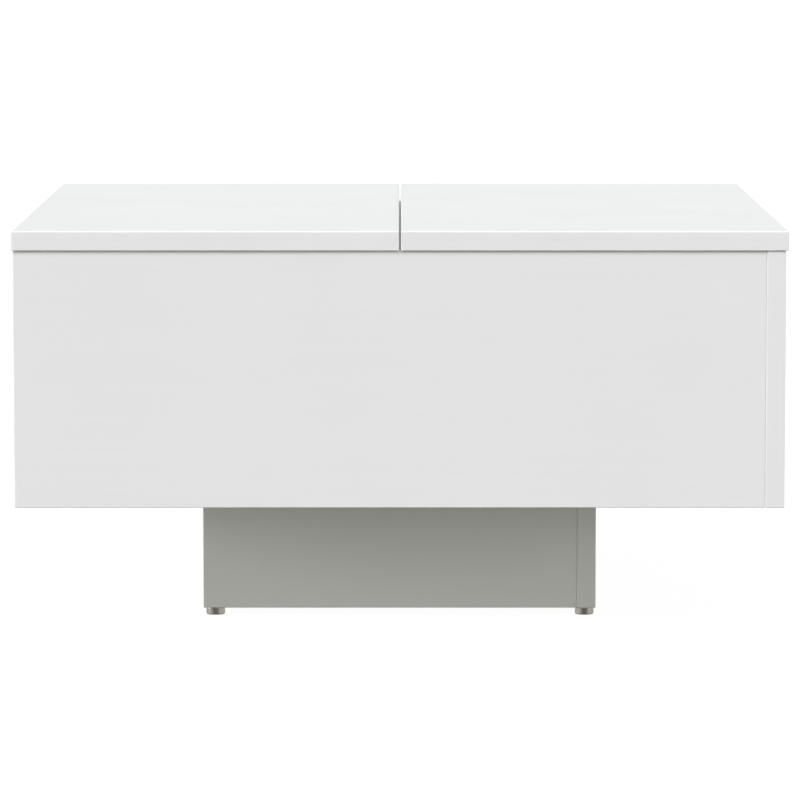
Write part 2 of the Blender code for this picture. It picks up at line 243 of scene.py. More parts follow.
def glowing(name, brightness, diffuse=0.0):
    """A stage surface that is white by itself, with a little real shading on top."""
    material = bpy.data.materials.new(name)
    material.use_nodes = True
    tree = material.node_tree
    tree.nodes.clear()
    output = tree.nodes.new("ShaderNodeOutputMaterial")
    glow = tree.nodes.new("ShaderNodeEmission")
    glow.inputs["Strength"].default_value = brightness
    matte = tree.nodes.new("ShaderNodeBsdfDiffuse")
    matte.inputs["Color"].default_value = grey(diffuse)
    both = tree.nodes.new("ShaderNodeAddShader")
    tree.links.new(glow.outputs[0], both.inputs[0])
    tree.links.new(matte.outputs[0], both.inputs[1])
    tree.links.new(both.outputs[0], output.inputs["Surface"])
    return material


def add_stage():
    """A white floor and a white dome. Only the camera sees them, so they light nothing."""
    bm = bmesh.new()
    bmesh.ops.create_grid(bm, x_segments=1, y_segments=1, size=FLOOR_HALF_SIZE)
    floor = plain_object("floor", bm, glowing("floor_white", FLOOR_GLOW, FLOOR_SHADE))
    bm = bmesh.new()
    bmesh.ops.create_uvsphere(bm, u_segments=48, v_segments=24, radius=DOME_RADIUS)
    bmesh.ops.reverse_faces(bm, faces=bm.faces)
    dome = plain_object("backdrop", bm, glowing("backdrop_white", DOME_GLOW))
    for stage in (floor, dome):
        stage.visible_diffuse = False
        stage.visible_glossy = False
        stage.visible_transmission = False
        stage.visible_shadow = False


# Mesh helpers

MERGE_DISTANCE = 1e-7
SLIVER = 1e-8  # the length of an edge that is dissolved
ROUND_SIDES = 48  # of a turned piece


def plain_object(name, bm, material, sharp_degrees=30):
    mesh = bpy.data.meshes.new(name)
    bm.to_mesh(mesh)
    bm.free()
    mesh.shade_smooth()
    mesh.set_sharp_from_angle(angle=math.radians(sharp_degrees))
    mesh.materials.append(material)
    made = bpy.data.objects.new(name, mesh)
    bpy.context.scene.collection.objects.link(made)
    return made


def piece(name, bm, material, body, sharp_degrees=30):
    """A piece of the object, with outward faces, that moves with a CAD body."""
    bmesh.ops.remove_doubles(bm, verts=bm.verts, dist=MERGE_DISTANCE)
    bmesh.ops.dissolve_degenerate(bm, edges=bm.edges, dist=SLIVER)
    bmesh.ops.recalc_face_normals(bm, faces=bm.faces)
    if bm.calc_volume(signed=True) < 0:
        bmesh.ops.reverse_faces(bm, faces=bm.faces)
    made = plain_object(name, bm, material, sharp_degrees)
    made.modifiers.new("flat_faces_stay_flat", "WEIGHTED_NORMAL").keep_sharp = True
    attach(made, body)
    return made


def add_block(bm, low, high, bevel, segments):
    """A box with bevelled edges."""
    corners = bmesh.ops.create_cube(bm, size=1)["verts"]
    for vert in corners:
        for axis in range(3):
            vert.co[axis] = low[axis] if vert.co[axis] < 0 else high[axis]
    edges = {edge for vert in corners for edge in vert.link_edges}
    bmesh.ops.bevel(bm, geom=list(edges), offset=bevel, segments=segments, profile=0.5, affect="EDGES")


def ring_of(bm, place, radius, height, sides):
    """Points round the place's own Z."""
    ring = []
    for step in range(sides):
        angle = math.tau * step / sides
        spot = Vector((radius * math.cos(angle), radius * math.sin(angle), height))
        ring.append(bm.verts.new(place @ spot))
    return ring


def join_loops(bm, loops):
    """Faces between each loop of points and the next."""
    for lower, upper in zip(loops, loops[1:]):
        for step in range(len(lower)):
            after = (step + 1) % len(lower)
            bm.faces.new((lower[step], lower[after], upper[after], upper[step]))


def join_solid(bm, rings):
    """A solid through the rings, with closed ends."""
    join_loops(bm, rings)
    bm.faces.new(reversed(rings[0]))
    bm.faces.new(rings[-1])


def loop_edges(bm, verts):
    pairs = zip(verts, verts[1:] + verts[:1])
    return [bm.edges.get(pair) or bm.edges.new(pair) for pair in pairs]


def add_turned(bm, profile, place):
    """A solid of revolution; its profile is (height, radius) steps, mapped by the place."""
    join_solid(bm, [ring_of(bm, place, radius, height, ROUND_SIDES) for height, radius in profile])


def add_wire(bm, points, radius, sides):
    """A round wire along the points, with closed ends."""
    rings = []
    side = None
    for index, point in enumerate(points):
        before = points[max(index - 1, 0)]
        after = points[min(index + 1, len(points) - 1)]
        along = (after - before).normalized()
        if side is None:
            side = along.orthogonal().normalized()
        side = (side - side.dot(along) * along).normalized()
        turn = Matrix((side, along.cross(side), along)).transposed().to_4x4()
        rings.append(ring_of(bm, Matrix.Translation(point) @ turn, radius, 0, sides))
    join_solid(bm, rings)


def arc(centre, radius, start, end, steps):
    """Points of an arc, in degrees, anticlockwise."""
    points = []
    for step in range(steps + 1):
        angle = math.radians(start + (end - start) * step / steps)
        points.append((centre[0] + radius * math.cos(angle), centre[1] + radius * math.sin(angle)))
    return points


def facing(point, direction):
    """A place at the point with its own Z along the direction."""
    turn = Vector(direction).to_track_quat("Z", "Y").to_matrix().to_4x4()
    return Matrix.Translation(Vector(point)) @ turn


# Materials

COOL_WHITE = (0.992, 1.0, 0.996)
WARM_WHITE = (0.99, 1.0, 0.95)


def grey(level, tint=(1, 1, 1)):
    return (level * tint[0], level * tint[1], level * tint[2], 1)


def shader_material(name, **values):
    """A Principled material; values are its sockets, with underscores for spaces."""
    material = bpy.data.materials.new(name)
    material.use_nodes = True
    shader = material.node_tree.nodes["Principled BSDF"]
    for socket, value in values.items():
        shader.inputs[socket.replace("_", " ")].default_value = value
    return material


def melamine(name, streaks):
    """White satin laminate: a fine pearl in the surface, and faint streaks along the walls."""
    material = shader_material(name, Specular_IOR_Level=0.45)
    nodes = Nodes(material.node_tree)
    cloud = nodes.noise(nodes.place, scale=9, detail=3)
    shade = cloud
    if streaks:
        grain = nodes.noise(nodes.stretched((5, 5, 520)), detail=4, roughness=0.65)
        shade = nodes.plus(nodes.times(cloud, 0.4), nodes.times(grain, 0.6))
    dark, light = grey(0.862, COOL_WHITE), grey(0.885, COOL_WHITE)
    nodes.to("Base Color", nodes.blended(nodes.ranged(shade, 0, 1), dark, light))
    smears = nodes.noise(nodes.place, scale=14, detail=5, roughness=0.6)
    nodes.to("Roughness", nodes.ranged(smears, 0.36, 0.46))
    pearl = nodes.noise(nodes.place, scale=1700, detail=2, roughness=0.6)
    nodes.bump(nodes.plus(pearl, nodes.times(cloud, 0.15)), 0.12, 0.05 * MM)
    return material


def edge_banding(name):
    """The plastic strip on a board's edges, a little smoother and cleaner than its faces."""
    material = shader_material(name, Specular_IOR_Level=0.5, Coat_Weight=0.08, Coat_Roughness=0.25)
    nodes = Nodes(material.node_tree)
    cloud = nodes.noise(nodes.place, scale=12, detail=2)
    dark, light = grey(0.872, COOL_WHITE), grey(0.895, COOL_WHITE)
    nodes.to("Base Color", nodes.blended(nodes.ranged(cloud, 0, 1), dark, light))
    fine = nodes.noise(nodes.place, scale=240, detail=3, roughness=0.6)
    nodes.to("Roughness", nodes.ranged(fine, 0.28, 0.34))
    nodes.bump(fine, 0.05, 0.02 * MM)
    return material


def washer_plastic(name):
    """Moulded plastic with a soft orange peel."""
    material = shader_material(name, Specular_IOR_Level=0.6, Coat_Weight=0.4, Coat_Roughness=0.08)
    nodes = Nodes(material.node_tree)
    mottle = nodes.noise(nodes.place, scale=420, detail=2)
    dark, light = grey(0.558, WARM_WHITE), grey(0.682, WARM_WHITE)
    nodes.to("Base Color", nodes.blended(mottle, dark, light))
    nodes.to("Roughness", nodes.ranged(mottle, 0.34, 0.46))
    peel = nodes.noise(nodes.place, scale=900, detail=2, roughness=0.4)
    nodes.bump(peel, 0.10, 0.05 * MM)
    return material


def nickel_steel(name):
    """Pressed steel under bright nickel, a little warm, with soft wear."""
    material = shader_material(name, Metallic=1.0)
    nodes = Nodes(material.node_tree)
    cloud = nodes.noise(nodes.place, scale=300, detail=3)
    dark, light = (0.56, 0.555, 0.51, 1), (0.66, 0.65, 0.60, 1)
    nodes.to("Base Color", nodes.blended(nodes.ranged(cloud, 0, 1), dark, light))
    nodes.to("Roughness", nodes.ranged(cloud, 0.16, 0.24))
    fine = nodes.noise(nodes.place, scale=1100, detail=2, roughness=0.4)
    nodes.bump(fine, 0.05, 0.04 * MM)
    return material


def zinc_steel(name):
    """Cold rolled sheet with a bright zinc coat: drawn lines, a soft spangle and a faint tint."""
    material = shader_material(name, Metallic=1.0)
    nodes = Nodes(material.node_tree)
    cells = nodes.add("ShaderNodeTexVoronoi", {"Vector": nodes.place, "Scale": 260})
    spangle = nodes.add("ShaderNodeSeparateColor", {"Color": cells.outputs["Color"]}).outputs[0]
    cloud = nodes.noise(nodes.place, scale=34, detail=4, roughness=0.6)
    shade = nodes.plus(nodes.times(spangle, 0.35), nodes.times(cloud, 0.65))
    cool, warm = (0.60, 0.63, 0.67, 1), (0.73, 0.73, 0.71, 1)
    nodes.to("Base Color", nodes.blended(nodes.ranged(shade, 0, 1), cool, warm))
    lines = nodes.noise(nodes.stretched((60, 60, 2600)), detail=2)
    rough = nodes.plus(nodes.times(cloud, 0.24), nodes.times(lines, 0.16))
    nodes.to("Roughness", nodes.plus(rough, 0.14))
    nodes.bump(lines, 0.12, 0.06 * MM)
    return material


def turned_steel(name, level):
    """Bright steel with fine turning marks."""
    material = shader_material(name, Metallic=1.0)
    nodes = Nodes(material.node_tree)
    cloud = nodes.noise(nodes.place, scale=160, detail=3)
    nodes.to("Base Color", nodes.blended(cloud, grey(level * 0.88), grey(level * 1.1)))
    marks = nodes.noise(nodes.place, scale=900, detail=2)
    nodes.to("Roughness", nodes.ranged(marks, 0.18, 0.34))
    nodes.bump(marks, 0.08, 0.04 * MM)
    return material


def pine(name):
    """Planed softwood with its grain upright."""
    material = shader_material(name, Specular_IOR_Level=0.3)
    nodes = Nodes(material.node_tree)
    warp = nodes.noise(nodes.stretched((20, 20, 3)), detail=3)
    trunk = {"Vector": nodes.stretched((1, 1, 0.05)), "Scale": 90, "Distortion": 5, "Detail": 2}
    rings = nodes.add("ShaderNodeTexWave", trunk, wave_type="RINGS").outputs["Fac"]
    grain = nodes.plus(nodes.times(rings, 0.6), nodes.times(warp, 0.4))
    light, dark = (0.71, 0.52, 0.31, 1), (0.52, 0.33, 0.17, 1)
    nodes.to("Base Color", nodes.blended(nodes.ranged(grain, 0, 1, 0.2, 0.8), light, dark))
    fibre = nodes.noise(nodes.stretched((1400, 1400, 30)), detail=3, roughness=0.7)
    nodes.to("Roughness", nodes.ranged(fibre, 0.55, 0.78))
    nodes.bump(nodes.plus(fibre, nodes.times(grain, 0.5)), 0.35, 0.12 * MM)
    return material


MELAMINE = melamine("melamine_plain", streaks=False)
MELAMINE_STREAKED = melamine("melamine_streaked", streaks=True)
BANDING = edge_banding("edge_banding")
NICKEL = nickel_steel("foot_nickel")
WASHER_PLASTIC = washer_plastic("washer_plastic")
ZINC = zinc_steel("zinc_sheet")
RIVET_STEEL = turned_steel("rivet_steel", 0.58)
SCREW_STEEL = turned_steel("screw_steel", 0.66)
SPRING_STEEL = turned_steel("spring_steel", 0.24)
PINE = pine("pine")

# Boards: a laminated slab inside a strip of edge banding

SEAM = 0.06 * MM  # groove between slab and banding
STRIP = 2.2 * MM  # thickness of the banding
JOINT_GAP = 0.25 * MM  # taken off the clearance between butting boards
ARRIS = 0.6 * MM  # rounding of an edge
INNER_ARRIS = 1.2 * MM  # of a wall's edges on its inner side, which show at its proud end
ARRIS_STEPS = 5
LID_CORNER = 0.8 * MM
LID_UPPER_ARRIS = 1.0 * MM
LID_LOWER_ARRIS = 0.3 * MM


def banding_profile(height, arris, lower_arris):
    """The strip's section, as (inward, up) points from its outer face and the board's middle."""
    half = height / 2
    lower = arc((-lower_arris, -half + lower_arris), lower_arris, -90, 0, ARRIS_STEPS)
    upper = arc((-arris, half - arris), arris, 0, 90, ARRIS_STEPS)
    slab_side = [(SEAM - STRIP, half), (-STRIP, half - SEAM)]
    return [(-STRIP, -half + SEAM), (SEAM - STRIP, -half), *lower, *upper, *slab_side]


def add_banding(bm, low, high, axis, corner, arris, lower_arris):
    """The strip round a board whose thickness runs along the axis; its corners are mitred inside."""
    across, along = [a for a in range(3) if a != axis]
    middle = (low[axis] + high[axis]) / 2
    profile = banding_profile(high[axis] - low[axis], arris, lower_arris)
    stations = []
    for right, far, start in ((1, 1, 0), (-1, 1, 90), (-1, -1, 180), (1, -1, 270)):
        outer_x = high[across] if right > 0 else low[across]
        outer_y = high[along] if far > 0 else low[along]
        for way in arc((0, 0), 1, start, start + 90, ARRIS_STEPS):
            station = []
            for out, up in profile:
                depth = max(corner, -out)
                reach = max(corner + out, 0)
                point = Vector()
                point[across] = outer_x - right * depth + reach * way[0]
                point[along] = outer_y - far * depth + reach * way[1]
                point[axis] = middle + up
                station.append(bm.verts.new(point))
            stations.append(station)
    join_loops(bm, [*stations, stations[0]])


def add_board(node, body, material, corner=ARRIS, arris=ARRIS, lower_arris=ARRIS, butts=False):
    """A slab and its banding stand for one CAD board; a board that butts is pushed home."""
    low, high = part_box(node)
    axis = min(range(3), key=lambda a: high[a] - low[a])
    if butts:
        close_joint(low, high)
        if low[axis] > 0:
            lower_arris = INNER_ARRIS
        else:
            arris = INNER_ARRIS
    inset = Vector((STRIP, STRIP, STRIP))
    inset[axis] = 0
    bm = bmesh.new()
    add_block(bm, low + inset, high - inset, SEAM, segments=1)
    slab = piece(f"{node}_slab", bm, material, body)
    bm = bmesh.new()
    add_banding(bm, low, high, axis, corner, arris, lower_arris)
    piece(f"{node}_banding", bm, BANDING, body)
    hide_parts(node)


def close_joint(low, high):
    """Lengthens an upright board at the end that butts against its neighbour's inner face."""
    along = max((0, 1), key=lambda a: high[a] - low[a])
    if abs(high[along]) < abs(low[along]):
        high[along] += JOINT_GAP
    else:
        low[along] -= JOINT_GAP


def add_boards():
    lid_edges = {"corner": LID_CORNER, "arris": LID_UPPER_ARRIS, "lower_arris": LID_LOWER_ARRIS}
    for side in SIDES:
        add_board(f"lid_{side}", f"{side}_lid", MELAMINE, **lid_edges)
    for wall in WALLS:
        add_board(f"wall_{wall}", "cabinet", MELAMINE_STREAKED, butts=True)
        add_board(f"plinth_{wall}", "cabinet", MELAMINE_STREAKED, butts=True)
    add_board("bottom_panel", "cabinet", MELAMINE)
    add_board("divider", "cabinet", MELAMINE_STREAKED)


# Screw heads and cam locks

BLOCK_SCREW = {"radius": 4.0 * MM, "height": 1.9 * MM, "reach": 2.2 * MM, "depth": 1.2 * MM}
PLATE_SCREW = {"radius": 3.8 * MM, "height": 1.5 * MM, "reach": 2.1 * MM, "depth": 0.9 * MM}
CAM_LOCK = {"radius": 7.5 * MM, "height": 0.25 * MM, "reach": 4.2 * MM, "depth": 1.6 * MM}
HEAD_SIDES = 28
HEAD_DOME = ((0, 0.96), (0.12, 1.0), (0.45, 0.985), (0.74, 0.92), (0.93, 0.82), (1.0, 0.70))
CROSS_WIDTH = 0.24  # half width of the driver cross, over its reach
CROSS_FLOOR = (0.55, 0.75)  # the recess's floor over its mouth, along X and Y
CAM_FROM_END = 34 * MM  # the usual distance of a cam lock from the board's end
CAM_ABOVE_BASE = 40 * MM
CAM_BELOW_TOP = 14.7 * MM


def add_head(bm, place, radius, height, reach, depth):
    """A domed head with a cross recess, standing on the place's XY plane."""
    rings = [ring_of(bm, place, radius * out, height * up, HEAD_SIDES) for up, out in HEAD_DOME]
    join_loops(bm, rings)
    bm.faces.new(reversed(rings[0]))
    width = reach * CROSS_WIDTH
    arm = ((reach, -width, 0), (reach, width, 0), (width, width, 0))
    cross = []
    for quarter in range(4):
        turn = Matrix.Rotation(quarter * math.pi / 2, 4, "Z")
        cross += [turn @ Vector(spot) for spot in arm]
    mouth = [bm.verts.new(place @ (spot + Vector((0, 0, height)))) for spot in cross]
    narrow, broad = CROSS_FLOOR
    sunk = [Vector((spot.x * narrow, spot.y * broad, height - depth)) for spot in cross]
    floor = [bm.verts.new(place @ spot) for spot in sunk]
    join_loops(bm, (floor, mouth))
    bm.faces.new(floor)
    edges = loop_edges(bm, rings[-1]) + loop_edges(bm, mouth)
    bmesh.ops.triangle_fill(bm, use_beauty=True, edges=edges)


def add_cam_locks(quarter):
    """Two locks in the inner face of one of the WALLS, beside its butting end."""
    low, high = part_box("wall_front")
    turn = Matrix.Rotation(quarter * math.pi / 2, 4, "Z")
    bm = bmesh.new()
    for height in (low.z + CAM_ABOVE_BASE, high.z - CAM_BELOW_TOP):
        place = facing((high.x - CAM_FROM_END, high.y, height), (0, 1, 0))
        add_head(bm, turn @ place, **CAM_LOCK)
    piece(f"cam_locks_{WALLS[quarter]}", bm, SCREW_STEEL, "cabinet")


# Feet and corner blocks

NAIL_RECESS = ((0.9, 2.3), (0.1, 2.6), (0, 2.8))  # (up, radius), in mm
RIM_BELOW = ((0, 0.75), (0.06, 0.57), (0.45, 0.20), (0.62, 0.06), (0.85, 0))  # (up, in), in mm
RIM_ABOVE = ((0.50, 0), (0.25, 0.08), (0.08, 0.30), (0, 0.60))  # (down, in), in mm
NAIL_RADIUS = 1.4 * MM
NAIL_POINT = 0.4 * MM
BLOCK_ROUNDING = 1.2 * MM
BLOCK_SCREW_HEIGHTS = (18 * MM, 62 * MM)  # above the block's base
BLOCK_SCREW_STAGGER = 12 * MM  # the screws through one face are this much higher


def foot_profile(wide, top, nail_top):
    """A pressed steel glide with a sunk nail head underneath and its nail above."""
    profile = [(up * MM, radius * MM) for up, radius in NAIL_RECESS]
    profile += [(up * MM, wide - inward * MM) for up, inward in RIM_BELOW]
    profile += [(top - down * MM, wide - inward * MM) for down, inward in RIM_ABOVE]
    profile += [(top, NAIL_RADIUS), (nail_top - NAIL_POINT, NAIL_RADIUS)]
    return [*profile, (nail_top, NAIL_RADIUS - NAIL_POINT)]


def add_foot(corner):
    low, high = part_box(f"foot_{corner}")
    centre = Vector(((low.x + high.x) / 2, (low.y + high.y) / 2, 0))
    plinth_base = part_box("plinth_front")[0].z
    profile = foot_profile((high.x - low.x) / 2, plinth_base - CLEARANCE, high.z)
    bm = bmesh.new()
    add_turned(bm, profile, Matrix.Translation(centre))
    foot = piece(f"glide_{corner}", bm, NICKEL, "cabinet")
    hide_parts(f"foot_{corner}")
    return foot


def add_corner_block(corner):
    """A planed block, screwed to both plinth boards and up into the bottom panel."""
    node = f"corner_block_{corner}"
    low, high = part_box(node)
    bm = bmesh.new()
    add_block(bm, low, high, BLOCK_ROUNDING, segments=3)
    block = piece(f"{node}_wood", bm, PINE, "cabinet")
    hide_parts(node)
    middle = (low + high) / 2
    inward_x = -math.copysign(1, middle.x)
    inward_y = -math.copysign(1, middle.y)
    face_x = high.x if inward_x > 0 else low.x
    face_y = high.y if inward_y > 0 else low.y
    bm = bmesh.new()
    for height in BLOCK_SCREW_HEIGHTS:
        beside = (face_x, middle.y, low.z + height)
        ahead = (middle.x, face_y, low.z + height + BLOCK_SCREW_STAGGER)
        add_head(bm, facing(beside, (inward_x, 0, 0)), **BLOCK_SCREW)
        add_head(bm, facing(ahead, (0, inward_y, 0)), **BLOCK_SCREW)
    add_head(bm, facing((middle.x, middle.y, low.z), (0, 0, -1)), **BLOCK_SCREW)
    piece(f"{node}_screws", bm, SCREW_STEEL, "cabinet")


# Lift linkage. Points are (out, depth, height): out from the centre plane, depth from the wall.

INNER_FACE = -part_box("wall_front")[1].y


def joint_name(side, end, which):
    if (end, which) == ("front", "outer"):
        return f"{side}_lift"
    return f"{side}_{end}_{which}_swing"


def pivot_of(joint):
    """A joint's (out, height)."""
    x, _, z = JOINTS[joint]["pos_m"]
    return Vector((abs(x), z))


def depths(node):
    """A node's nearest and furthest distance from the wall's inner face."""
    return tuple(sorted(INNER_FACE - abs(corner.y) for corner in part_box(node)))


def out_range(node):
    """A node's nearest and furthest distance from the centre plane."""
    return tuple(sorted(abs(corner.x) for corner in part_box(node)))


ARM_REACH = pivot_of("left_lid_level") - pivot_of("left_lift")  # lower pivot to upper pivot
LOWER = {which: pivot_of(joint_name("left", "back", which)) for which in ("outer", "inner")}
UPPER = {which: LOWER[which] + ARM_REACH for which in LOWER}
LIFT_TURN = math.radians(JOINTS["left_lift"]["range_deg"][1])
ARM_LAYER = depths("left_front_outer_arm")
TOP_LAYER = depths("left_front_top_bracket")
BASE_LAYER = depths("left_front_base_bracket")
BORE_RADIUS = 4.1 * MM


def to_corner(bm, side, end):
    """Moves points from (out, depth, height) to their place in the frame."""
    for vert in bm.verts:
        out, depth, height = vert.co
        vert.co = (SIDES[side] * out, ENDS[end] * (INNER_FACE - depth), height)


def corner_place(side, end, pivot):
    """A pivot's place on the wall, with its own Z into the cabinet."""
    point = (SIDES[side] * pivot.x, ENDS[end] * INNER_FACE, pivot.y)
    return facing(point, (0, -ENDS[end], 0))


# Sheet metal

CUT_ANGLE = math.radians(60)  # sharper edges are cut edges
CUT_ROUNDING = 0.25 * MM
BEND_STEPS = 5
BEND_RADIUS = 1 * MM  # on the inside
PLATE_CORNER_STEPS = 8
LIP_CORNER_STEPS = 6


def circle(centre, radius, sides=32):
    return arc(centre, radius, 0, 360 - 360 / sides, sides - 1)


def hull(points):
    """The convex outline round the points, anticlockwise."""
    chain = []
    ordered = sorted(set(points))
    for run in (ordered, ordered[::-1]):
        start = len(chain)
        for point in run:
            while len(chain) >= start + 2 and turns_right(chain[-2], chain[-1], point):
                chain.pop()
            chain.append(point)
        chain.pop()
    return chain


def turns_right(a, b, c):
    return (b[0] - a[0]) * (c[1] - a[1]) - (b[1] - a[1]) * (c[0] - a[0]) <= 0


def add_sheet(bm, outline, holes, at):
    """A flat face with round holes; at maps its (u, v) points to (out, depth, height)."""
    edges = []
    for loop in (outline, *holes):
        edges += loop_edges(bm, [bm.verts.new(at(u, v)) for u, v in loop])
    bmesh.ops.triangle_fill(bm, use_beauty=True, edges=edges)


def round_end(near, far, reach, corner, steps):
    """The two round corners of an outline that ends at reach, from its far side to its near side."""
    first = arc((far - corner, reach - corner), corner, 0, 90, steps)
    return first + arc((near + corner, reach - corner), corner, 90, 180, steps)


def add_bent_lip(bm, span, layer, plate_edge, level, reach, corner, upward):
    """A bend from the plate's edge to a level lip, and the lip itself, to its reach."""
    radius = abs(level - plate_edge)
    rows = []
    for step in range(BEND_STEPS + 1):
        angle = math.pi / 2 * step / BEND_STEPS
        depth = layer + radius * (1 - math.cos(angle))
        height = plate_edge + math.copysign(radius * math.sin(angle), upward)
        rows.append([bm.verts.new((out, depth, height)) for out in span])
    for lower, upper in zip(rows, rows[1:]):
        bm.faces.new((lower[0], lower[1], upper[1], upper[0]))
    near, far = span
    outline = [(near, layer + radius), (far, layer + radius)]
    outline += round_end(near, far, reach, corner, LIP_CORNER_STEPS)
    add_sheet(bm, outline, (), lambda u, v: (u, v, level))


def thicken(bm, thickness, rounding=CUT_ROUNDING):
    """Gives a bent sheet its thickness, on the side away from the wall, and rounds its cut edges."""
    bmesh.ops.remove_doubles(bm, verts=bm.verts, dist=MERGE_DISTANCE)
    bmesh.ops.recalc_face_normals(bm, faces=bm.faces)
    plate = max(bm.faces, key=lambda face: face.calc_area())
    if plate.normal.y > 0:
        bmesh.ops.reverse_faces(bm, faces=bm.faces)
    bmesh.ops.solidify(bm, geom=bm.faces[:], thickness=thickness)
    bmesh.ops.recalc_face_normals(bm, faces=bm.faces)
    cut = [edge for edge in bm.edges if edge.is_manifold and edge.calc_face_angle() > CUT_ANGLE]
    bmesh.ops.bevel(bm, geom=cut, offset=rounding, segments=2, profile=0.5, affect="EDGES")


# Brackets and arms

BASE_THICKNESS = 2.5 * MM
BASE_HEIGHT = 74.5 * MM  # of the plate, above which only its stop tab reaches
BASE_CORNER = 8.0 * MM
BASE_LIP_CORNER = 3 * MM
SCREW_HOLE = 2.3 * MM
SCREW_HOLE_SIDES = 20
SCREW_INSET = 10 * MM  # from the plate's top and inner edges
FOOT_SCREW_RISE = 12.5 * MM  # from the plate's foot
OUTER_SCREW_INSET = 12 * MM
MIDDLE_SCREW_SHIFT = 1 * MM  # inwards from the plate's middle
STOP_ALONG = 20 * MM  # from the pivot, along the raised arm
STOP_LENGTH = 10 * MM
STOP_THICKNESS = 3 * MM
STOP_ROOT = 1.5 * MM  # the depth from which it stands, within the plate
STOP_ROUNDING = 0.6 * MM
TOP_THICKNESS = 2.0 * MM
TOP_MARGIN = 11 * MM  # from a pivot to the plate's edge
TOP_MARGIN_SIDES = 40
TOP_LIP_CORNER = 5 * MM
TOP_LIP_SCREWS = (0.14, 0.5, 0.86)  # places along the lip
ARM_HALF_WIDTH = 9.0 * MM
ARM_ROUNDING = 0.5 * MM
ARM_END_STEPS = 20


def base_screw_points(near, far, foot, top):
    """Three screws along the plate's top and inner edges, and one at its outer foot."""
    return (
        (near + SCREW_INSET, top - SCREW_INSET),
        (near + SCREW_INSET, foot + FOOT_SCREW_RISE),
        ((near + far) / 2 - MIDDLE_SCREW_SHIFT, top - SCREW_INSET),
        (far - OUTER_SCREW_INSET, foot + FOOT_SCREW_RISE),
    )


def add_stop(bm):
    """The bent tab on which the raised outer arm rests."""
    closed = math.atan2(ARM_REACH.y, -ARM_REACH.x)
    raised = closed + LIFT_TURN
    along = Vector((-math.cos(raised), 0, math.sin(raised)))
    outward = Vector((along.z, 0, -along.x))
    start = Vector((LOWER["outer"].x, 0, LOWER["outer"].y)) + STOP_ALONG * along
    start += (ARM_HALF_WIDTH + CLEARANCE) * outward
    low = Vector((0, STOP_ROOT, 0))
    high = Vector((STOP_THICKNESS, ARM_LAYER[1], STOP_LENGTH))
    tab = bmesh.new()
    add_block(tab, low, high, STOP_ROUNDING, segments=3)
    for vert in tab.verts:
        out, depth, up = vert.co
        vert.co = start + out * outward + up * along + Vector((0, depth, 0))
    spare = bpy.data.meshes.new("stop_tab")
    tab.to_mesh(spare)
    tab.free()
    bm.from_mesh(spare)
    bpy.data.meshes.remove(spare)


def add_base_bracket(side, end):
    """A plate on the wall with a stiffening lip along its foot, a stop tab and four screws."""
    node = f"{side}_{end}_base_bracket"
    near, far = out_range(node)
    layer, reach = depths(node)
    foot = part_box(node)[0].z
    top = foot + BASE_HEIGHT
    edge = foot + BASE_THICKNESS + BEND_RADIUS
    outline = [(near, edge), (far, edge)]
    outline += round_end(near, far, top, BASE_CORNER, PLATE_CORNER_STEPS)
    screws = base_screw_points(near, far, foot, top)
    holes = [circle(pivot, BORE_RADIUS) for pivot in LOWER.values()]
    holes += [circle(point, SCREW_HOLE, SCREW_HOLE_SIDES) for point in screws]
    bm = bmesh.new()
    add_sheet(bm, outline, holes, lambda u, v: (u, layer, v))
    add_bent_lip(bm, (near, far), layer, edge, foot, reach, BASE_LIP_CORNER, upward=-1)
    thicken(bm, BASE_THICKNESS)
    add_stop(bm)
    to_corner(bm, side, end)
    bracket = piece(f"{node}_plate", bm, ZINC, "cabinet", sharp_degrees=50)
    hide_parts(node)
    bm = bmesh.new()
    for point in screws:
        place = corner_place(side, end, Vector(point))
        add_head(bm, place @ Matrix.Translation((0, 0, layer + BASE_THICKNESS)), **PLATE_SCREW)
    piece(f"{node}_screws", bm, SCREW_STEEL, "cabinet")


def add_top_bracket(side, end):
    """An angle under the lid: a plate round the upper pivots, and a lip with three screws."""
    node = f"{side}_{end}_top_bracket"
    near, far = out_range(node)
    layer, reach = depths(node)
    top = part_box(node)[1].z
    bend = TOP_THICKNESS + BEND_RADIUS
    edge = top - bend
    points = [(near, edge), (far, edge)]
    for pivot in UPPER.values():
        points += [(out, min(up, edge)) for out, up in circle(pivot, TOP_MARGIN, TOP_MARGIN_SIDES)]
    holes = [circle(pivot, BORE_RADIUS) for pivot in UPPER.values()]
    bm = bmesh.new()
    add_sheet(bm, hull(points), holes, lambda u, v: (u, layer, v))
    add_bent_lip(bm, (near, far), layer, edge, top, reach, TOP_LIP_CORNER, upward=1)
    thicken(bm, TOP_THICKNESS)
    to_corner(bm, side, end)
    bracket = piece(f"{node}_angle", bm, ZINC, f"{side}_lid", sharp_degrees=50)
    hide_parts(node)
    bm = bmesh.new()
    depth = (layer + bend + reach) / 2
    for part in TOP_LIP_SCREWS:
        out = near + part * (far - near)
        point = (SIDES[side] * out, ENDS[end] * (INNER_FACE - depth), top - TOP_THICKNESS)
        add_head(bm, facing(point, (0, 0, -1)), **PLATE_SCREW)
    piece(f"{node}_screws", bm, SCREW_STEEL, f"{side}_lid")


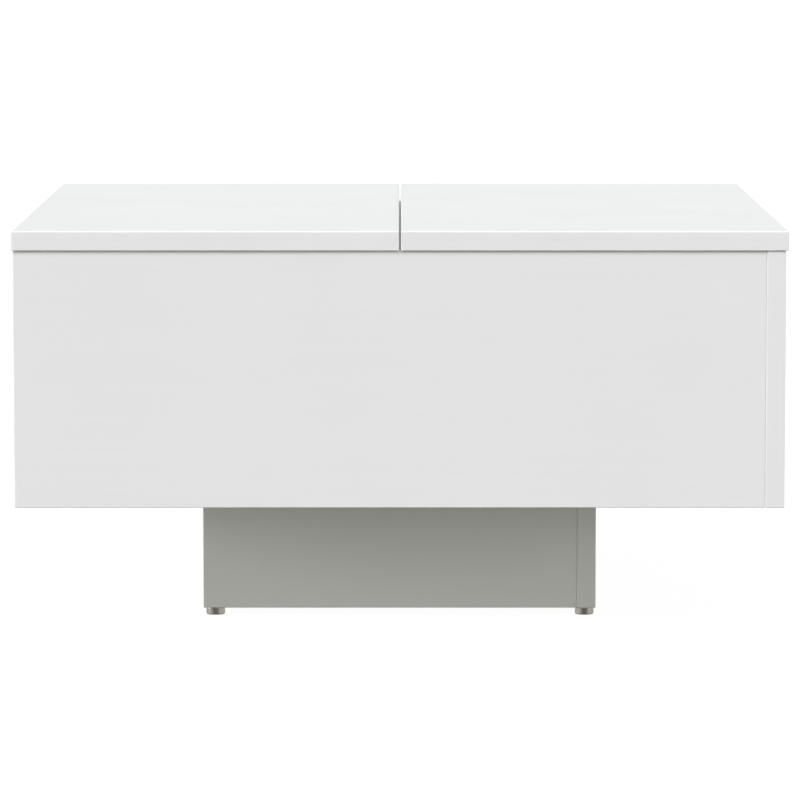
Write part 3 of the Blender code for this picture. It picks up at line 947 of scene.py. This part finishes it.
def add_arm(side, end, which):
    """A flat bar with round ends and a bore at each end."""
    node = f"{side}_{end}_{which}_arm"
    near, far = depths(node)
    lower, upper = LOWER[which], UPPER[which]
    tilt = math.degrees(math.atan2(ARM_REACH.y, ARM_REACH.x))
    outline = arc(lower, ARM_HALF_WIDTH, tilt + 90, tilt + 270, ARM_END_STEPS)
    outline += arc(upper, ARM_HALF_WIDTH, tilt - 90, tilt + 90, ARM_END_STEPS)
    holes = [circle(lower, BORE_RADIUS), circle(upper, BORE_RADIUS)]
    bm = bmesh.new()
    add_sheet(bm, outline, holes, lambda u, v: (u, near, v))
    thicken(bm, far - near, ARM_ROUNDING)
    to_corner(bm, side, end)
    arm = piece(f"{node}_bar", bm, ZINC, node, sharp_degrees=50)
    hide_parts(node)


# Pins and washers

PIN_RADIUS = 4.0 * MM
PIN_CHAMFER = 0.3 * MM
HEAD_RADIUS = 6.5 * MM
HEAD_HEIGHT = 1.2 * MM
RIVET_DOME = ((0, 0.94), (0.15, 1.0), (0.45, 0.97), (0.75, 0.85), (0.93, 0.62), (1.0, 0.30))
WASHER_BORE = PIN_RADIUS + 0.05 * MM
WASHER_CHAMFER = 0.2 * MM


def domed(start, radius, way=1):
    """A rivet head from its flat side at start, rising the given way."""
    return [(start + way * HEAD_HEIGHT * up, radius * out) for up, out in RIVET_DOME]


def add_washer(name, body, place, near, far):
    """A flat ring round a pin."""
    section = (
        (near, WASHER_BORE),
        (near, HEAD_RADIUS - WASHER_CHAMFER),
        (near + WASHER_CHAMFER, HEAD_RADIUS),
        (far - WASHER_CHAMFER, HEAD_RADIUS),
        (far, HEAD_RADIUS - WASHER_CHAMFER),
        (far, WASHER_BORE),
    )
    bm = bmesh.new()
    rings = [ring_of(bm, place, radius, height, ROUND_SIDES) for height, radius in section]
    join_loops(bm, [*rings, rings[0]])
    piece(name, bm, WASHER_PLASTIC, body)


def add_pin(node, body, place, profile):
    bm = bmesh.new()
    add_turned(bm, profile, place)
    pin = piece(f"{node}_rivet", bm, RIVET_STEEL, body)
    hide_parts(node)


def add_lower_pin(side, end, which):
    """A pin through the base plate and the arm, with one head."""
    node = f"{side}_{end}_{which}_lower_pin"
    near, far = depths(node)
    inner, outer = out_range(node)
    neck = far - HEAD_HEIGHT
    place = corner_place(side, end, LOWER[which])
    shaft = [(near, PIN_RADIUS - PIN_CHAMFER), (near + PIN_CHAMFER, PIN_RADIUS), (neck, PIN_RADIUS)]
    add_pin(node, "cabinet", place, shaft + domed(neck, (outer - inner) / 2))
    start = BASE_LAYER[0] + BASE_THICKNESS + CLEARANCE
    add_washer(f"{node}_washer", "cabinet", place, start, ARM_LAYER[0] - CLEARANCE)


def add_upper_pin(side, end, which):
    """A pin through the arm and the top bracket, with a head at each end."""
    node = f"{side}_{end}_{which}_upper_pin"
    near, far = depths(node)
    body = f"{side}_lid"
    place = corner_place(side, end, UPPER[which])
    first, last = near + HEAD_HEIGHT, far - HEAD_HEIGHT
    profile = domed(first, HEAD_RADIUS, way=-1)[::-1] + [(first, PIN_RADIUS), (last, PIN_RADIUS)]
    add_pin(node, body, place, profile + domed(last, HEAD_RADIUS))
    start, stop = ARM_LAYER[1] + CLEARANCE, TOP_LAYER[0] - CLEARANCE
    add_washer(f"{node}_washer", body, place, start, stop)


# Springs. Their points are (up, sideways) from the outer arm's lower pivot, along and across the arm.

WIRE_RADIUS = 0.9 * MM
WIRE_SIDES = 12
COIL_RADIUS = 7.5 * MM
COIL_TURNS = 5
COIL_POINTS = 28  # in a turn
LEG_LENGTH = 34 * MM
LEG_SLANT = 3 * MM  # length over which the leg moves out from the coil to the arm's edge
LEG_GAP = 0.2 * MM  # between the leg and the arm's edge
LEG_BEND = 1.6 * MM
TAIL_START = (-3.2 * MM, 7.05 * MM)
TAIL_END = (-1.0 * MM, 1.5 * MM)
TAIL_BEND = 2.0 * MM


def rounded_path(points, radius, steps=6):
    """The points with each corner turned into a short curve."""
    path = [points[0]]
    for before, corner, after in zip(points, points[1:], points[2:]):
        reach = min(radius, (corner - before).length / 2, (after - corner).length / 2)
        start = corner + reach * (before - corner).normalized()
        end = corner + reach * (after - corner).normalized()
        for step in range(steps + 1):
            part = step / steps
            path.append((1 - part) ** 2 * start + 2 * part * (1 - part) * corner + part**2 * end)
    path.append(points[-1])
    return path


def spring_path(near, far):
    """The wire's middle line: the leg with its hook, the coil and the tail held in the pin."""
    first, last = near + WIRE_RADIUS, far - WIRE_RADIUS
    along = ARM_REACH.normalized()
    across = Vector((along.y, -along.x))

    def at(up, sideways, depth):
        spot = LOWER["outer"] + up * along + sideways * across
        return Vector((spot.x, depth, spot.y))

    edge = ARM_HALF_WIDTH + WIRE_RADIUS + LEG_GAP
    leg = [
        at(LEG_LENGTH, edge, ARM_LAYER[0] + CLEARANCE),
        at(LEG_LENGTH, edge, first),
        at(LEG_LENGTH - LEG_SLANT, COIL_RADIUS, first),
        at(0, COIL_RADIUS, first),
    ]
    coil = []
    for step in range(1, COIL_TURNS * COIL_POINTS + 1):
        turn = step / COIL_POINTS
        angle = math.tau * turn
        depth = first + (last - first) * turn / COIL_TURNS
        coil.append(at(-COIL_RADIUS * math.sin(angle), COIL_RADIUS * math.cos(angle), depth))
    tail = [coil[-1], at(*TAIL_START, last), at(*TAIL_END, last)]
    return rounded_path(leg, LEG_BEND) + coil[:-1] + rounded_path(tail, TAIL_BEND)


def add_spring(side, end):
    """A torsion spring: its leg lifts the outer arm."""
    node = f"{side}_{end}_spring"
    near, far = depths(node)
    bm = bmesh.new()
    add_wire(bm, spring_path(near, far), WIRE_RADIUS, WIRE_SIDES)
    to_corner(bm, side, end)
    bmesh.ops.recalc_face_normals(bm, faces=bm.faces)
    spring = plain_object(f"{node}_wire", bm, SPRING_STEEL, sharp_degrees=60)
    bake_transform(spring)
    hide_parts(node)


def add_linkage(side, end):
    add_base_bracket(side, end)
    add_top_bracket(side, end)
    add_spring(side, end)
    for which in LOWER:
        add_arm(side, end, which)
        add_lower_pin(side, end, which)
        add_upper_pin(side, end, which)


def add_corner(side, end):
    """All that stands in one corner; returns its foot."""
    foot = add_foot(f"{end}_{side}")
    add_corner_block(f"{end}_{side}")
    add_linkage(side, end)
    return foot


add_camera()
add_world()
add_stage()
add_boards()
made_feet = []
for end_name in ENDS:
    for side_name in SIDES:
        made_feet.append(add_corner(side_name, end_name))
for quarter_turn in range(len(WALLS)):
    add_cam_locks(quarter_turn)
add_lights(made_feet)
bpy.context.scene.view_settings.view_transform = "Standard"
